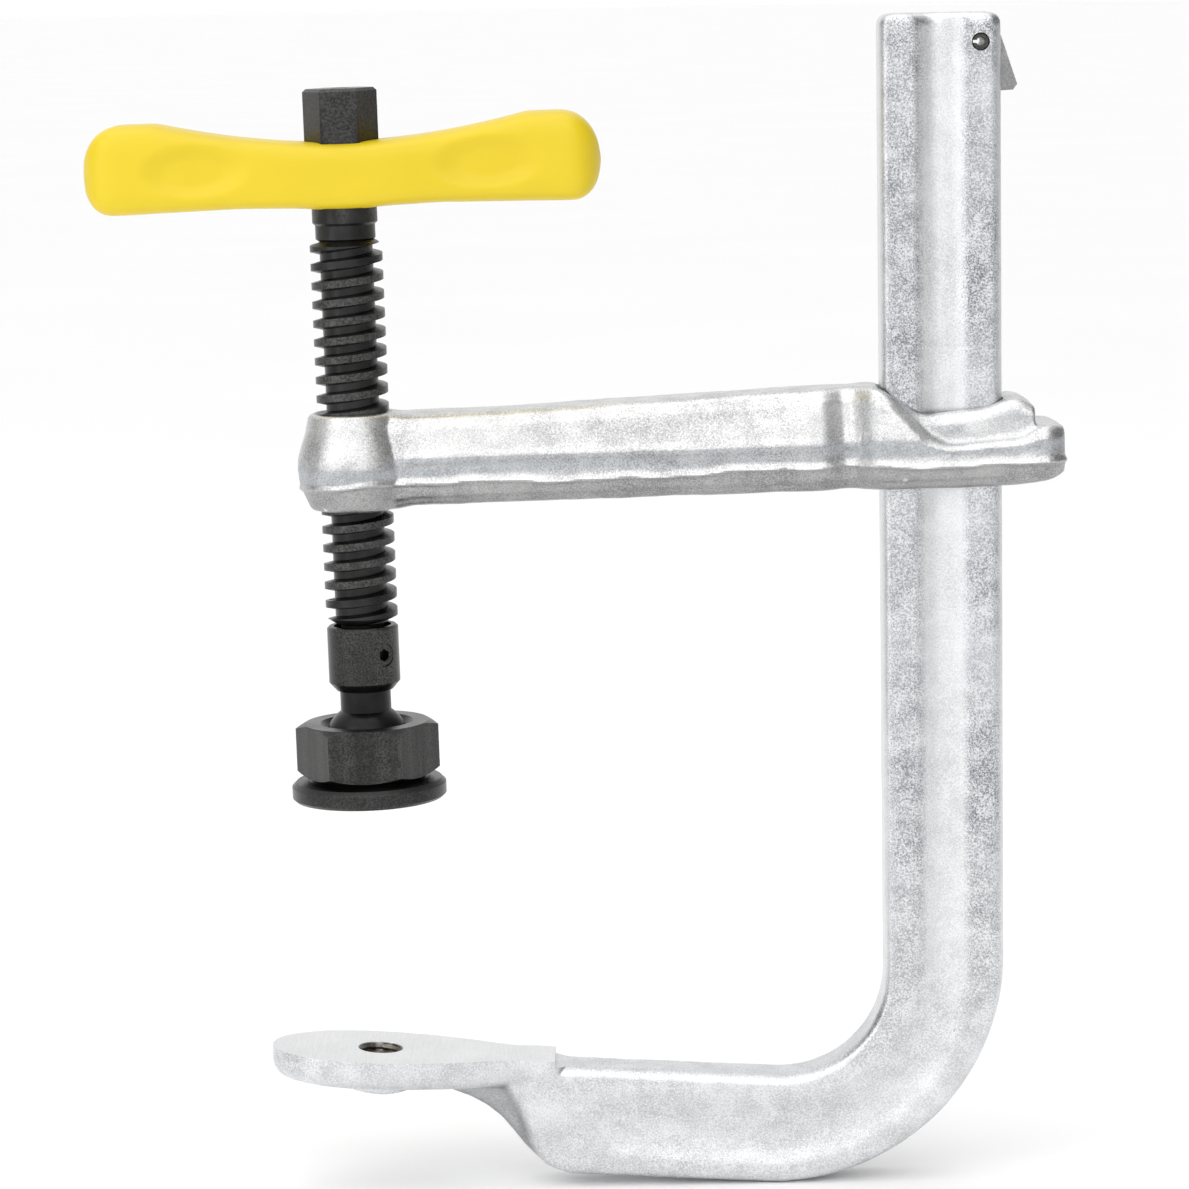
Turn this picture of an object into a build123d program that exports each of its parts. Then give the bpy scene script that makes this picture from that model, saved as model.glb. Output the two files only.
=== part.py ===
"""Sliding-arm bar clamp with a forged L-shaped rail, a T-handle screw and a swivel pad.

Millimetres. The origin is the centre of the tapped hole in the fixed foot, on its clamping face.
+X runs from the foot towards the rail, +Z runs up along the rail, and Y = 0 is the middle plane.
"""

import os
from math import cos, radians, sin, tan

from build123d import *

os.makedirs("parts", exist_ok=True)

# ---------------------------------------------------------------- driving dimensions

# forged rail, lower arm and foot
RAIL_INNER_X = 137.1
RAIL_WIDTH = 32.0
RAIL_THICKNESS = 16.0
RAIL_TOP_Z = 276.5
RAIL_EDGE_RADIUS = 3.0
INNER_BEND_RADIUS = 28.0
OUTER_BEND_RADIUS = 62.0
TOE_IN = 3.4  # degrees by which the lower arm and foot rise towards the tip
BAR_HEIGHT = 30.0
BAR_TOP_AT_STEP = -4.6
STEP_X = 47.5  # where the machined foot face ends
HEEL_CHAMFER = 4.0
GROOVE_WIDTH = 12.7
GROOVE_FLOOR = 5.0
GROOVE_DEPTH = 2.4
GROOVE_BEND_RADIUS = 44.0
GROOVE_END_X = 52.0

FOOT_TIP_X = -29.5
FOOT_HALF_WIDTH = 17.5
FOOT_THICKNESS = 8.5
FOOT_EDGE_RADIUS = 4.5
FOOT_BOSS_RADIUS = 8.5
FOOT_BOSS_HEIGHT = 2.2
FOOT_TAP_RADIUS = 5.1  # tapping size of an M12 thread

# stop latch at the top of the rail
LATCH_PIVOT_X = 163.6
LATCH_PIVOT_Z = 268.8
LATCH_THICKNESS = 4.0
LATCH_SLOT_WIDTH = 4.6
LATCH_SLOT_INNER_X = 155.4
LATCH_SLOT_BOTTOM_Z = 252.8
LATCH_SLOT_TOP_Z = 274.2
LATCH_BACK_X = 160.2
ROLL_PIN_RADIUS = 2.0
ROLL_PIN_BORE = 1.1
ROLL_PIN_SLOT = 0.8
LATCH_SPRING_Z = 258.3
LATCH_SPRING_POCKET_X = 149.5
LATCH_SPRING_POCKET_RADIUS = 1.85
LATCH_SPRING_RADIUS = 1.3
LATCH_SPRING_WIRE = 0.25
LATCH_SPRING_COILS = 7

# sliding arm, in the cocked frame of the screw
ARM_TILT = 1.02  # degrees by which the arm droops on the rail
PARTING_H = 155.5
ARM_BOTTOM_H = 149.0
HUB_BOTTOM_H = 148.0
HUB_TOP_H = 173.9
UPPER_DRAFT = 8.0
LOWER_DRAFT = 17.0
HUB_RADIUS = 15.4
SHAFT_HALF_WIDTH = 11.8
WAIST_HALF_WIDTH = 9.6
COLLAR_HALF_WIDTH = 15.2
PLAN_RADIUS = 4.0
COLLAR_END_A = 188.2
WALL_HALF_WIDTH = 12.4
WALL_END_A = 180.4
SLOT_LENGTH = 33.2
SLOT_WIDTH = 16.7
SLOT_CENTRE_A = 155.9

# screw thread: 5 mm pitch, 29 degree flanks
PITCH = 5.0
THREAD_CREST_RADIUS = 9.6
THREAD_ROOT_RADIUS = 7.05
THREAD_CREST_WIDTH = 1.9
THREAD_FLANK = 14.5
THREAD_CLEARANCE = 0.28
THREAD_BASE_H = 110.0
TAP_LENGTH = 34.0
THREAD_LOW_H = 117.3
THREAD_HIGH_H = 220.0

HEX_ACROSS_FLATS = 17.0
HEX_TOP_H = 259.5
SHOULDER_RADIUS = 8.65
SHOULDER_LOW_H = 223.6
NECK_RADIUS = 7.95
HANDLE_LOW_H = 228.2

HANDLE_MIDDLE_HEIGHT = 17.3
HANDLE_END_HEIGHT = 23.7
HANDLE_HALF_LENGTH = 68.3
HANDLE_CREST_A = 55.0
HANDLE_THICKNESS = 24.0
HANDLE_EDGE_RADIUS = 5.5

# swivel stud under the screw
STUD_TOP_H = 116.5
STUD_LOW_H = 99.1
STUD_RADIUS = 9.55
STUD_BORE_RADIUS = 5.8
STUD_BORE_FLOOR_H = 102.6
STUD_MOUTH_RADIUS = 7.7
STUD_MOUTH_DEPTH = 1.6
STUD_NECK_RADIUS = 6.8
SCREW_TIP_RADIUS = 5.7
SCREW_TIP_H = 102.7
BALL_RADIUS = 11.6
BALL_H = 84.0

SET_SCREW_H = 109.0
SET_SCREW_BEARING = 41.0  # degrees from -Y towards +X
SET_SCREW_RADIUS = 3.0
SET_SCREW_HEX = 3.0
SET_SCREW_DOG_RADIUS = 1.5
SET_SCREW_DOG_TIP = 4.7
SET_SCREW_SHOULDER = 6.1
TIP_GROOVE_RADIUS = 4.4
TIP_GROOVE_WIDTH = 3.4

# swivel pad
PAD_LOW_H = 69.5
PAD_RADIUS = 20.75
PAD_THICKNESS = 5.0
PAD_NECK_RADIUS = 15.0
PAD_BOSS_RADIUS = 13.4
PAD_BOSS_TOP_H = 82.6
NUT_LOW_H = 75.9
NUT_HEIGHT = 14.3
NUT_ACROSS_FLATS = 33.3
NUT_MOUTH_RADIUS = 12.5
NUT_MOUTH_DEPTH = 1.6
SEAT_CLEARANCE = 0.2

# ---------------------------------------------------------------- frames

tilt = radians(ARM_TILT)
toe = radians(TOE_IN)
half_thickness = RAIL_THICKNESS / 2
rail_outer_x = RAIL_INNER_X + RAIL_WIDTH
rail_mid_x = RAIL_INNER_X + RAIL_WIDTH / 2

# the screw's own frame: x = a (towards the rail), z = h (up along the screw)
screw_frame = Plane(origin=(0, 0, 0), x_dir=(cos(tilt), 0, sin(tilt)), z_dir=(-sin(tilt), 0, cos(tilt)))
# side view of the same frame: sketch x = a, sketch y = h
screw_side = Plane(origin=(0, 0, 0), x_dir=(cos(tilt), 0, sin(tilt)), z_dir=(0, -1, 0))
# the foot's clamping face
foot_face = Plane(origin=(0, 0, 0), x_dir=(cos(toe), 0, -sin(toe)), z_dir=(sin(toe), 0, cos(toe)))


def level(h):
    """Plane square to the screw at height h."""
    return screw_frame.offset(h)


def bar_top(x):
    """Height of the lower arm's inner face."""
    return BAR_TOP_AT_STEP - (x - STEP_X) * tan(toe)


def bar_bottom(x):
    """Height of the lower arm's underside."""
    return bar_top(x) - BAR_HEIGHT


# ---------------------------------------------------------------- rail

# plan of the foot: rounded tip, widest near the hole, drawn in to the bar's thickness
with BuildPart() as foot_plate:
    with BuildSketch(foot_face) as foot_plan:
        with BuildLine():
            Spline(
                (FOOT_TIP_X, 0),
                (-4, FOOT_HALF_WIDTH),
                (22, 13.6),
                (STEP_X, half_thickness - 0.1),
                tangents=[(0, 1), (1, -0.1)],
            )
            Line((STEP_X, half_thickness - 0.1), (STEP_X, 0))
            mirror(about=Plane.XZ)
        make_face()
    extrude(amount=-FOOT_THICKNESS)
    fillet(foot_plate.faces().sort_by(Axis.Z)[0].edges(), FOOT_EDGE_RADIUS)

heel = (44.0, bar_bottom(44.0))
web_tip = (14.0, -8.6)
step_corner = (STEP_X, bar_top(STEP_X))
bend_inside = (RAIL_INNER_X, bar_top(RAIL_INNER_X))
bend_outside = (rail_outer_x, bar_bottom(rail_outer_x))

with BuildPart() as rail:
    # L-shaped side view, with the hollow that carries the foot
    with BuildSketch(Plane.XZ) as rail_side:
        with BuildLine():
            Polyline(
                heel,
                bend_outside,
                (rail_outer_x, RAIL_TOP_Z),
                (RAIL_INNER_X, RAIL_TOP_Z),
                bend_inside,
                step_corner,
                (web_tip[0], step_corner[1]),
                web_tip,
            )
            ThreePointArc(web_tip, (31.0, -20.6), heel)
        make_face()
        for corner, radius in ((bend_outside, OUTER_BEND_RADIUS), (bend_inside, INNER_BEND_RADIUS)):
            fillet(rail_side.vertices().sort_by_distance((*corner, 0))[0], radius)
        chamfer(rail_side.vertices().sort_by_distance((*heel, 0))[0], HEEL_CHAMFER)
    extrude(amount=half_thickness, both=True)
    broad_faces = rail.faces().sort_by(Axis.Y)[0].edges() + rail.faces().sort_by(Axis.Y)[-1].edges()
    fillet(broad_faces.filter_by_position(Axis.X, STEP_X, rail_outer_x + 1), RAIL_EDGE_RADIUS)
    # forged groove down both broad faces and round the bend
    for side in (-1, 1):
        face_y = side * half_thickness
        with BuildLine() as groove_path:
            FilletPolyline(
                (rail_mid_x, face_y, RAIL_TOP_Z + 4),
                (rail_mid_x, face_y, bar_top(rail_mid_x) - BAR_HEIGHT / 2),
                (GROOVE_END_X, face_y, bar_top(GROOVE_END_X) - BAR_HEIGHT / 2),
                radius=GROOVE_BEND_RADIUS,
            )
        wall_slope = (GROOVE_WIDTH - GROOVE_FLOOR) / 2 / GROOVE_DEPTH
        with BuildSketch(
            Plane(
                origin=(rail_mid_x, face_y, RAIL_TOP_Z + 4),
                x_dir=(-side, 0, 0),
                z_dir=(0, 0, -1),
            )
        ):
            with BuildLine():
                Polyline(
                    (-GROOVE_WIDTH / 2 - wall_slope, 1),
                    (-GROOVE_FLOOR / 2, -GROOVE_DEPTH),
                    (GROOVE_FLOOR / 2, -GROOVE_DEPTH),
                    (GROOVE_WIDTH / 2 + wall_slope, 1),
                    close=True,
                )
            make_face()
        sweep(path=groove_path.line, mode=Mode.SUBTRACT)
    # foot, its boss and the tapped hole
    add(foot_plate.part)
    with BuildSketch(foot_face.offset(-FOOT_THICKNESS + 0.5)):
        Circle(FOOT_BOSS_RADIUS)
    extrude(amount=-FOOT_BOSS_HEIGHT - 0.5, taper=12)
    with BuildSketch(foot_face):
        Circle(FOOT_TAP_RADIUS)
    extrude(amount=-FOOT_THICKNESS - FOOT_BOSS_HEIGHT - 5, mode=Mode.SUBTRACT)
    # slot, cross hole and spring pocket for the stop latch
    with BuildSketch(Plane.XZ):
        with BuildLine():
            Polyline(
                (LATCH_SLOT_INNER_X, LATCH_SLOT_BOTTOM_Z),
                (rail_outer_x + 1, LATCH_SLOT_BOTTOM_Z),
                (rail_outer_x + 1, LATCH_SLOT_TOP_Z),
                (LATCH_SLOT_INNER_X, LATCH_SLOT_TOP_Z),
                close=True,
            )
        make_face()
    extrude(amount=LATCH_SLOT_WIDTH / 2, both=True, mode=Mode.SUBTRACT)
    with BuildSketch(Plane.XZ):
        with Locations((LATCH_PIVOT_X, LATCH_PIVOT_Z)):
            Circle(ROLL_PIN_RADIUS + 0.01)
    extrude(amount=RAIL_THICKNESS, both=True, mode=Mode.SUBTRACT)
    with BuildSketch(Plane.YZ.offset(LATCH_SPRING_POCKET_X)):
        with Locations((0, LATCH_SPRING_Z)):
            Circle(LATCH_SPRING_POCKET_RADIUS)
    extrude(amount=LATCH_SLOT_INNER_X - LATCH_SPRING_POCKET_X + 1, mode=Mode.SUBTRACT)

# ---------------------------------------------------------------- stop latch

with BuildPart() as stop_latch:
    with BuildSketch(Plane.XZ) as latch_side:
        with BuildLine():
            Polyline(
                (LATCH_BACK_X, LATCH_SPRING_Z - 2.9),
                (172.6, LATCH_SPRING_Z - 2.3),
                (173.7, LATCH_SPRING_Z - 0.8),
                (rail_outer_x - 0.1, 271.6),
                (167.6, 272.6),
                (LATCH_BACK_X, 272.6),
                close=True,
            )
        make_face()
        fillet(latch_side.vertices().sort_by_distance((LATCH_BACK_X, 272.6, 0))[0], 3.0)
        with Locations((LATCH_PIVOT_X, LATCH_PIVOT_Z)):
            Circle(ROLL_PIN_RADIUS + 0.06, mode=Mode.SUBTRACT)
    extrude(amount=LATCH_THICKNESS / 2, both=True)

# slotted spring pin that the latch turns on
with BuildPart() as stop_roll_pin:
    with BuildSketch(Plane.XZ) as pin_section:
        with Locations((LATCH_PIVOT_X, LATCH_PIVOT_Z)):
            Circle(ROLL_PIN_RADIUS)
            Circle(ROLL_PIN_BORE, mode=Mode.SUBTRACT)
        with Locations((LATCH_PIVOT_X - ROLL_PIN_RADIUS, LATCH_PIVOT_Z)):
            Rectangle(2 * ROLL_PIN_BORE, ROLL_PIN_SLOT, mode=Mode.SUBTRACT)
    extrude(amount=half_thickness - 0.3, both=True)

# coil spring that pushes the latch out
spring_front_x = LATCH_BACK_X - LATCH_SPRING_WIRE - 0.05
spring_back_x = LATCH_SPRING_POCKET_X + LATCH_SPRING_WIRE + 0.05
with BuildPart() as latch_spring:
    with BuildLine() as coil:
        Helix(
            (spring_front_x - spring_back_x) / LATCH_SPRING_COILS,
            spring_front_x - spring_back_x,
            LATCH_SPRING_RADIUS,
            center=(spring_back_x, 0, LATCH_SPRING_Z),
            direction=(1, 0, 0),
        )
    with BuildSketch(Plane(origin=coil.line @ 0, z_dir=coil.line % 0)):
        Circle(LATCH_SPRING_WIRE)
    sweep(path=coil.line, is_frenet=True)

# ---------------------------------------------------------------- screw thread


def helical_ridge(base_h, turns, foot_radius, crest_radius, crest_width):
    """One start of trapezoidal thread round the screw's axis, as a separate solid."""
    foot_width = crest_width + 2 * (crest_radius - foot_radius) * tan(radians(THREAD_FLANK))
    base = screw_frame.from_local_coords((0, 0, base_h))
    with BuildPart() as ridge:
        with BuildLine() as path:
            Helix(PITCH, turns * PITCH, foot_radius, center=base, direction=screw_frame.z_dir)
        start = path.line @ 0
        outward = (start - base).normalized()
        with BuildSketch(Plane(origin=start, x_dir=outward, z_dir=outward.cross(screw_frame.z_dir))):
            with BuildLine():
                Polyline(
                    (0, -foot_width / 2),
                    (crest_radius - foot_radius, -crest_width / 2),
                    (crest_radius - foot_radius, crest_width / 2),
                    (0, foot_width / 2),
                    close=True,
                )
            make_face()
        sweep(path=path.line, is_frenet=True)
    return ridge.part


screw_turns = (THREAD_HIGH_H + PITCH - THREAD_BASE_H) / PITCH
screw_ridge = helical_ridge(
    THREAD_BASE_H, screw_turns, THREAD_ROOT_RADIUS - 0.4, THREAD_CREST_RADIUS, THREAD_CREST_WIDTH
)
tap_start_h = THREAD_BASE_H + 7 * PITCH
tap_flank = radians(THREAD_FLANK)
tap_ridge = helical_ridge(
    tap_start_h,
    7,
    THREAD_ROOT_RADIUS - 0.4,
    THREAD_CREST_RADIUS + THREAD_CLEARANCE,
    THREAD_CREST_WIDTH + 2 * THREAD_CLEARANCE / cos(tap_flank) - 2 * THREAD_CLEARANCE * tan(tap_flank),
)

# the space that the screw needs inside the hub
with BuildPart() as tap:
    add(tap_ridge)
    with BuildSketch(level(tap_start_h - 1)):
        Circle(THREAD_CREST_RADIUS + 3)
    extrude(amount=TAP_LENGTH, mode=Mode.INTERSECT)
    with BuildSketch(level(tap_start_h - 1)):
        Circle(THREAD_ROOT_RADIUS + 0.35)
    extrude(amount=TAP_LENGTH)

# the thread runs out in a cone at each end
with BuildPart() as thread_envelope:
    with BuildSketch(screw_side):
        with BuildLine():
            Polyline(
                (0, THREAD_LOW_H),
                (THREAD_ROOT_RADIUS, THREAD_LOW_H),
                (THREAD_CREST_RADIUS + 2, THREAD_LOW_H + 3),
                (THREAD_CREST_RADIUS + 2, THREAD_HIGH_H - 3),
                (THREAD_ROOT_RADIUS, THREAD_HIGH_H),
                (0, THREAD_HIGH_H),
                close=True,
            )
        make_face()
    revolve(axis=Axis((0, 0, 0), screw_frame.z_dir))

# ---------------------------------------------------------------- spindle

tip_groove_low = SET_SCREW_H - TIP_GROOVE_WIDTH / 2
tip_groove_high = SET_SCREW_H + TIP_GROOVE_WIDTH / 2

with BuildPart() as spindle:
    add(screw_ridge)
    add(thread_envelope.part, mode=Mode.INTERSECT)
    # core, turned tip with its retaining groove, neck and shoulder
    with BuildSketch(screw_side):
        with BuildLine():
            Polyline(
                (0, SCREW_TIP_H),
                (SCREW_TIP_RADIUS - 0.8, SCREW_TIP_H),
                (SCREW_TIP_RADIUS, SCREW_TIP_H + 0.8),
                (SCREW_TIP_RADIUS, tip_groove_low),
                (TIP_GROOVE_RADIUS, tip_groove_low),
                (TIP_GROOVE_RADIUS, tip_groove_high),
                (SCREW_TIP_RADIUS, tip_groove_high),
                (SCREW_TIP_RADIUS, STUD_TOP_H + 0.3),
                (THREAD_ROOT_RADIUS, STUD_TOP_H + 0.9),
                (THREAD_ROOT_RADIUS, THREAD_HIGH_H - 0.6),
                (NECK_RADIUS, THREAD_HIGH_H),
                (NECK_RADIUS, SHOULDER_LOW_H),
                (SHOULDER_RADIUS, SHOULDER_LOW_H + 0.7),
                (SHOULDER_RADIUS, HANDLE_LOW_H),
                (0, HANDLE_LOW_H),
                close=True,
            )
        make_face()
    revolve(axis=Axis((0, 0, 0), screw_frame.z_dir))
    # hexagonal head, one flat towards -Y
    with BuildSketch(level(HANDLE_LOW_H)):
        RegularPolygon(HEX_ACROSS_FLATS / 2, 6, major_radius=False)
    extrude(amount=HEX_TOP_H - HANDLE_LOW_H)
    chamfer(spindle.faces().sort_by(Axis.Z)[-1].edges(), 0.8)
    with BuildSketch(screw_side):
        with BuildLine():
            Polyline((0, HEX_TOP_H + 1), (3.4, HEX_TOP_H + 1), (0, HEX_TOP_H - 2.4), close=True)
        make_face()
    revolve(axis=Axis((0, 0, 0), screw_frame.z_dir), mode=Mode.SUBTRACT)

# ---------------------------------------------------------------- T-handle

handle_middle_top = HANDLE_LOW_H + HANDLE_MIDDLE_HEIGHT
handle_end_top = HANDLE_LOW_H + HANDLE_END_HEIGHT

with BuildPart() as handle:
    with BuildSketch(screw_side):
        with BuildLine():
            saddle = Spline(
                (0, handle_middle_top),
                (HANDLE_CREST_A / 2, handle_middle_top + 0.3 * (HANDLE_END_HEIGHT - HANDLE_MIDDLE_HEIGHT)),
                (HANDLE_CREST_A, handle_end_top),
                tangents=[(1, 0), (1, 0)],
            )
            Spline(
                saddle @ 1,
                (HANDLE_HALF_LENGTH, HANDLE_LOW_H + 0.46 * HANDLE_END_HEIGHT),
                (HANDLE_CREST_A + 2, HANDLE_LOW_H),
                tangents=[(1, 0), (-1, 0)],
            )
            Line((HANDLE_CREST_A + 2, HANDLE_LOW_H), (0, HANDLE_LOW_H))
            mirror(about=Plane.YZ)
        make_face()
    extrude(amount=HANDLE_THICKNESS / 2, both=True)
    fillet(
        handle.faces().sort_by(Axis.Y)[0].edges() + handle.faces().sort_by(Axis.Y)[-1].edges(),
        HANDLE_EDGE_RADIUS,
    )
    with BuildSketch(level(HANDLE_LOW_H - 1)):
        RegularPolygon(HEX_ACROSS_FLATS / 2 + 0.03, 6, major_radius=False)
    extrude(amount=HANDLE_MIDDLE_HEIGHT + 10, mode=Mode.SUBTRACT)
    with BuildSketch(level(HANDLE_LOW_H - 1)):
        Circle(SHOULDER_RADIUS + 0.5)
    extrude(amount=1, mode=Mode.SUBTRACT)

# ---------------------------------------------------------------- sliding arm

waist_a = 127.0
cheek_a = 134.5


def arm_plan(collar_half_width, end_a):
    """Half outline of the forging at the parting plane, from the screw to the collar's end."""
    Polyline(
        (end_a, 0),
        (end_a, collar_half_width - 6),
        (end_a - 5, collar_half_width),
        (cheek_a, collar_half_width),
        (waist_a + 2, WAIST_HALF_WIDTH),
        (waist_a - 3, WAIST_HALF_WIDTH),
        (waist_a - 10, SHAFT_HALF_WIDTH),
        (0, SHAFT_HALF_WIDTH),
        (0, 0),
    )
    mirror(about=Plane.XZ)


with BuildPart() as band_side:
    # side view of the hub, the shaft and the collar's lower band
    with BuildSketch(screw_side):
        with BuildLine():
            top = Polyline(
                (-20, HUB_TOP_H),
                (14, HUB_TOP_H),
                (40, 173.5),
                (132, 176.3),
                (138.5, 176.3),
            )
            drop = Spline(top @ 1, (147.5, 168.6), (156.5, 161.0), tangents=[(1, -0.1), (1, 0)])
            Polyline(
                drop @ 1,
                (177, 162.4),
                (181, 165.4),
                (186.5, 165.4),
                (190, 162),
                (190, ARM_BOTTOM_H + 4),
                (186, ARM_BOTTOM_H + 1),
                (175, ARM_BOTTOM_H),
                (22, ARM_BOTTOM_H),
                (14, HUB_BOTTOM_H),
                (-20, HUB_BOTTOM_H),
                (-20, HUB_TOP_H),
            )
        make_face()
    extrude(amount=30, both=True)

with BuildPart() as arm_band:
    # drafted both ways from the parting plane
    with BuildSketch(level(PARTING_H)) as band_plan:
        with BuildLine():
            arm_plan(COLLAR_HALF_WIDTH, COLLAR_END_A)
        make_face()
        fillet(band_plan.vertices().filter_by_position(Axis.X, 60, COLLAR_END_A + 1), PLAN_RADIUS)
        Circle(HUB_RADIUS)
    extrude(band_plan.sketch, amount=26, taper=UPPER_DRAFT)
    extrude(band_plan.sketch, amount=-10, taper=LOWER_DRAFT)
    add(band_side.part, mode=Mode.INTERSECT)

with BuildPart() as wall_side:
    # side view of the collar's upper wall
    with BuildSketch(screw_side):
        with BuildLine():
            Polyline((128, 176.3), (140, 176.3))
            Spline((140, 176.3), (152, 169.3), (166, 170.2), (174, 172.4), (178, 171.4))
            Polyline((178, 171.4), (182, 168), (182, PARTING_H), (128, PARTING_H), (128, 176.3))
        make_face()
    extrude(amount=30, both=True)

with BuildPart() as arm_wall:
    # thinner upper wall of the collar, set back from the band
    with BuildSketch(level(PARTING_H)) as wall_plan:
        with BuildLine():
            Polyline(
                (WALL_END_A, 0),
                (WALL_END_A, WALL_HALF_WIDTH - 4),
                (WALL_END_A - 4, WALL_HALF_WIDTH),
                (cheek_a - 2, WALL_HALF_WIDTH),
                (cheek_a - 2, 0),
            )
            mirror(about=Plane.XZ)
        make_face()
    extrude(amount=26, taper=4)
    add(wall_side.part, mode=Mode.INTERSECT)

with BuildPart() as sliding_arm:
    add(arm_band.part)
    add(arm_wall.part)
    # slot that rides on the rail
    with BuildSketch(level(HUB_BOTTOM_H - 5)):
        with Locations((SLOT_CENTRE_A, 0)):
            RectangleRounded(SLOT_LENGTH, SLOT_WIDTH, 2.6)
    extrude(amount=45, mode=Mode.SUBTRACT)
    # tapped bore for the screw
    add(tap.part, mode=Mode.SUBTRACT)

# ---------------------------------------------------------------- swivel stud

with BuildPart() as swivel_stud:
    with BuildSketch(screw_side):
        with BuildLine():
            ball_join_h = BALL_H + (BALL_RADIUS**2 - STUD_NECK_RADIUS**2) ** 0.5
            Polyline(
                (STUD_NECK_RADIUS, ball_join_h),
                (STUD_NECK_RADIUS, STUD_LOW_H),
                (STUD_RADIUS - 1.9, STUD_LOW_H),
                (STUD_RADIUS, STUD_LOW_H + 2.2),
                (STUD_RADIUS, STUD_TOP_H - 0.6),
                (STUD_RADIUS - 0.6, STUD_TOP_H),
                (STUD_MOUTH_RADIUS, STUD_TOP_H),
                (STUD_MOUTH_RADIUS, STUD_TOP_H - STUD_MOUTH_DEPTH),
                (STUD_BORE_RADIUS, STUD_TOP_H - STUD_MOUTH_DEPTH - 1),
                (STUD_BORE_RADIUS, STUD_BORE_FLOOR_H),
                (0, STUD_BORE_FLOOR_H),
                (0, BALL_H - BALL_RADIUS),
            )
            ThreePointArc(
                (0, BALL_H - BALL_RADIUS),
                (BALL_RADIUS, BALL_H),
                (STUD_NECK_RADIUS, ball_join_h),
            )
        make_face()
    revolve(axis=Axis((0, 0, 0), screw_frame.z_dir))
    bearing = radians(SET_SCREW_BEARING)
    set_screw_out = Vector(cos(tilt) * sin(bearing), -cos(bearing), sin(tilt) * sin(bearing))
    set_screw_axis = Plane(
        origin=screw_frame.from_local_coords((0, 0, SET_SCREW_H)),
        x_dir=screw_frame.z_dir,
        z_dir=set_screw_out,
    )
    with BuildSketch(set_screw_axis):
        Circle(SET_SCREW_RADIUS + 0.02)
    extrude(amount=STUD_RADIUS + 2, mode=Mode.SUBTRACT)

# grub screw whose dog point keeps the stud on the screw's tip
with BuildPart() as swivel_set_screw:
    with BuildSketch(set_screw_axis.offset(SET_SCREW_DOG_TIP)):
        Circle(SET_SCREW_DOG_RADIUS)
    extrude(amount=SET_SCREW_SHOULDER - SET_SCREW_DOG_TIP)
    with BuildSketch(set_screw_axis.offset(SET_SCREW_SHOULDER)):
        Circle(SET_SCREW_RADIUS)
    extrude(amount=STUD_RADIUS - 0.6 - SET_SCREW_SHOULDER)
    with BuildSketch(set_screw_axis.offset(STUD_RADIUS - 0.6)):
        RegularPolygon(SET_SCREW_HEX / 2, 6, major_radius=False)
    extrude(amount=-1.8, mode=Mode.SUBTRACT)

# ---------------------------------------------------------------- swivel pad

seat_radius = BALL_RADIUS + SEAT_CLEARANCE

with BuildPart() as pad_disc:
    with BuildSketch(screw_side):
        with BuildLine():
            seat_half_chord = (seat_radius**2 - (PAD_BOSS_TOP_H - BALL_H) ** 2) ** 0.5
            Polyline(
                (0, BALL_H - seat_radius),
                (0, PAD_LOW_H),
                (PAD_RADIUS - 0.8, PAD_LOW_H),
                (PAD_RADIUS, PAD_LOW_H + 0.8),
                (PAD_RADIUS, PAD_LOW_H + PAD_THICKNESS - 1.2),
                (PAD_RADIUS - 1.2, PAD_LOW_H + PAD_THICKNESS),
                (PAD_NECK_RADIUS + 1, PAD_LOW_H + PAD_THICKNESS + 0.4),
                (PAD_NECK_RADIUS, NUT_LOW_H),
                (PAD_BOSS_RADIUS, NUT_LOW_H),
                (PAD_BOSS_RADIUS, PAD_BOSS_TOP_H),
                (seat_half_chord, PAD_BOSS_TOP_H),
            )
            RadiusArc((seat_half_chord, PAD_BOSS_TOP_H), (0, BALL_H - seat_radius), seat_radius)
        make_face()
    revolve(axis=Axis((0, 0, 0), screw_frame.z_dir))

nut_top_h = NUT_LOW_H + NUT_HEIGHT
nut_corner_radius = NUT_ACROSS_FLATS / 3**0.5
mouth_edge_h = nut_top_h - NUT_MOUTH_DEPTH
mouth_edge_radius = (seat_radius**2 - (mouth_edge_h - BALL_H) ** 2) ** 0.5
cavity_h = PAD_BOSS_TOP_H + 0.6
cavity_radius = (seat_radius**2 - (cavity_h - BALL_H) ** 2) ** 0.5

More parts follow.
